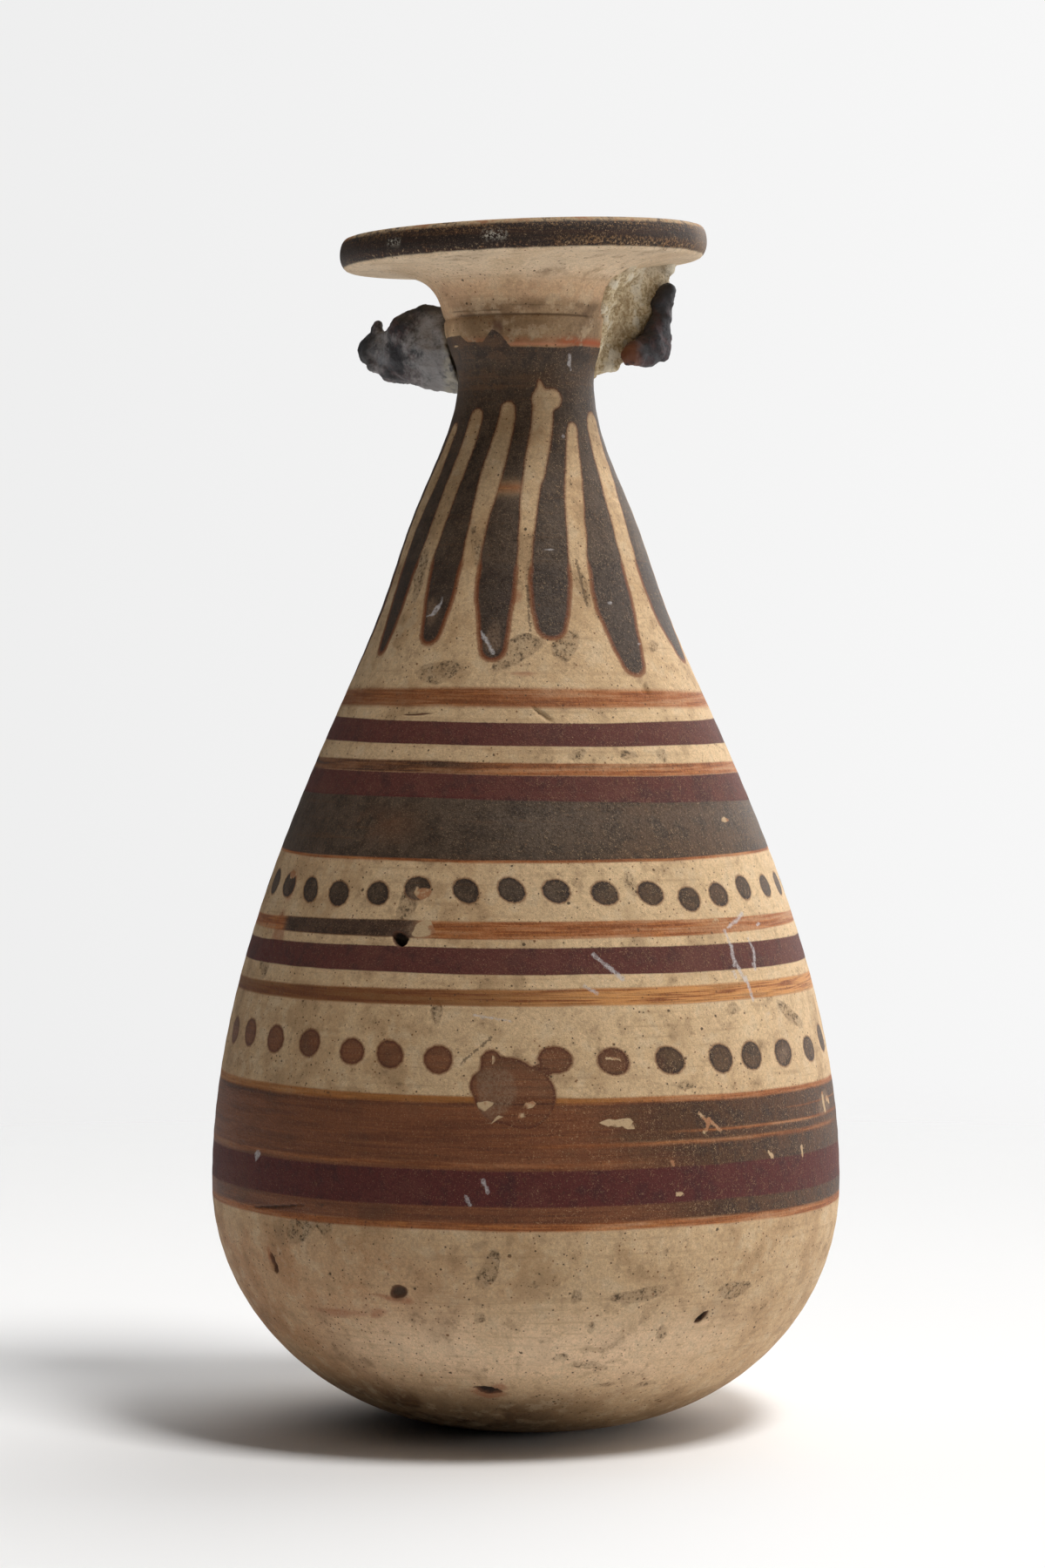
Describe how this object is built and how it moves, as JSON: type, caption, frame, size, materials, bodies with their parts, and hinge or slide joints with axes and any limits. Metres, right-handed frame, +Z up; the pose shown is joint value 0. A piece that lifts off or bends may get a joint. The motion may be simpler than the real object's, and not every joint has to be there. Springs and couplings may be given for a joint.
{
  "type": "alabastron",
  "caption": "Small pear-shaped clay oil flask with a disc mouth on a narrow neck, a crusted lug under the mouth and lumps of rusted iron beside the neck.",
  "frame": {"origin": "on the flat resting spot of the base, under the middle of the belly", "axes": "+Z up along the flask's axis, towards the mouth; -Y towards the side that is looked at; the lug stands behind the right side, between +X and +Y"},
  "size_m": [0.0744, 0.0744, 0.1408],
  "materials": {
    "clay": "satin slip, painted with dark brown, purple-red and orange bands, dots and tongues, worn and stained",
    "iron": "deeply rusted, matte, blue-black to brown"
  },
  "bodies": {
    "root": {"flask": "clay", "iron_remnant_left": "iron", "iron_remnant_right": "iron"}
  },
  "joints": []
}
